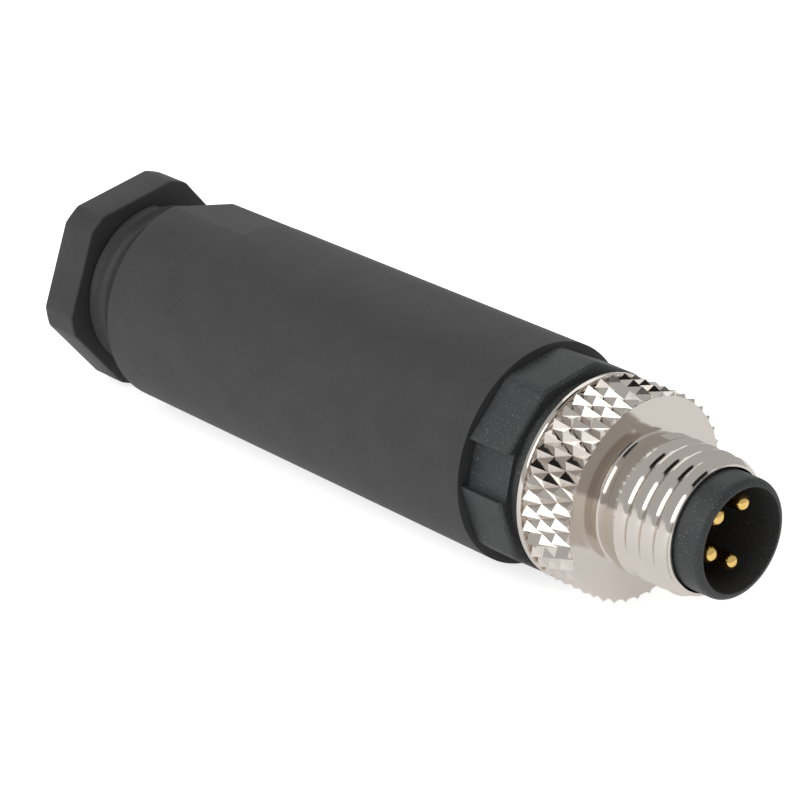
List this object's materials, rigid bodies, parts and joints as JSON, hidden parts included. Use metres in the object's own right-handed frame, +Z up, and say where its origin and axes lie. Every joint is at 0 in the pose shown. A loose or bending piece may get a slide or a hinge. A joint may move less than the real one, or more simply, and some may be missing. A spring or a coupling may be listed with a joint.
{
  "type": "circular sensor connector",
  "caption": "Straight round sensor plug with a screwed and knurled coupling ring, pin contacts in a shroud, a black housing sleeve and a hexagonal cable gland nut.",
  "frame": {"origin": "on the plug's axis, in the mating face, which is the plane of the contact nose's mouth", "axes": "+X along the plug towards its mating side, +Z up as the plug lies on a table, +Y to its left seen from behind"},
  "size_m": [0.051, 0.0132, 0.0126],
  "materials": {
    "nickel_plate": "nickel-plated turned brass",
    "moulded_polyamide_grained": "moulded glass-filled polyamide, fine grain",
    "moulded_polyamide": "moulded polyamide, matt",
    "gold_plate": "gold-plated turned brass",
    "bare_nickel_clamp": "nickel-plated brass clamp",
    "screw_steel": "zinc-plated steel",
    "seal_rubber": "nitrile rubber"
  },
  "bodies": {
    "core": {"contact_insert": "moulded_polyamide_grained", "contact_pin_1": "gold_plate", "contact_pin_2": "gold_plate", "contact_pin_3": "gold_plate", "contact_pin_4": "gold_plate", "grip_body": "moulded_polyamide_grained", "sleeve_seal": "seal_rubber", "terminal_holder": "moulded_polyamide", "clamp_block_1": "bare_nickel_clamp", "clamp_block_2": "bare_nickel_clamp", "clamp_block_3": "bare_nickel_clamp", "clamp_block_4": "bare_nickel_clamp", "terminal_screw_1": "screw_steel", "terminal_screw_2": "screw_steel", "terminal_screw_3": "screw_steel", "terminal_screw_4": "screw_steel"},
    "ring": {"coupling_ring": "nickel_plate"},
    "seal": {"cable_seal": "seal_rubber"},
    "sleeve": {"housing_sleeve": "moulded_polyamide"},
    "cage": {"clamp_cage": "moulded_polyamide"},
    "nut": {"gland_nut": "moulded_polyamide"}
  },
  "joints": [
    {"name": "ring_turn", "type": "hinge", "parent": "core", "child": "ring", "pos_m": [0, 0, 0], "axis": [1, 0, 0], "continuous": true},
    {"name": "sleeve_travel", "type": "slide", "parent": "core", "child": "seal", "axis": [-1, 0, 0], "range_m": [0, 0.005]},
    {"name": "sleeve_turn", "type": "hinge", "parent": "seal", "child": "sleeve", "pos_m": [0, 0, 0], "axis": [-1, 0, 0], "range_deg": [0, 1800]},
    {"name": "gland_travel", "type": "slide", "parent": "sleeve", "child": "cage", "axis": [1, 0, 0], "range_m": [0, 0.003]},
    {"name": "gland_turn", "type": "hinge", "parent": "cage", "child": "nut", "pos_m": [0, 0, 0], "axis": [1, 0, 0], "range_deg": [0, 1080]}
  ],
  "couplings": [
    {"joint": "sleeve_turn", "follows": "sleeve_travel", "rad_per_m": 6283.2},
    {"joint": "gland_turn", "follows": "gland_travel", "rad_per_m": 6283.2}
  ]
}
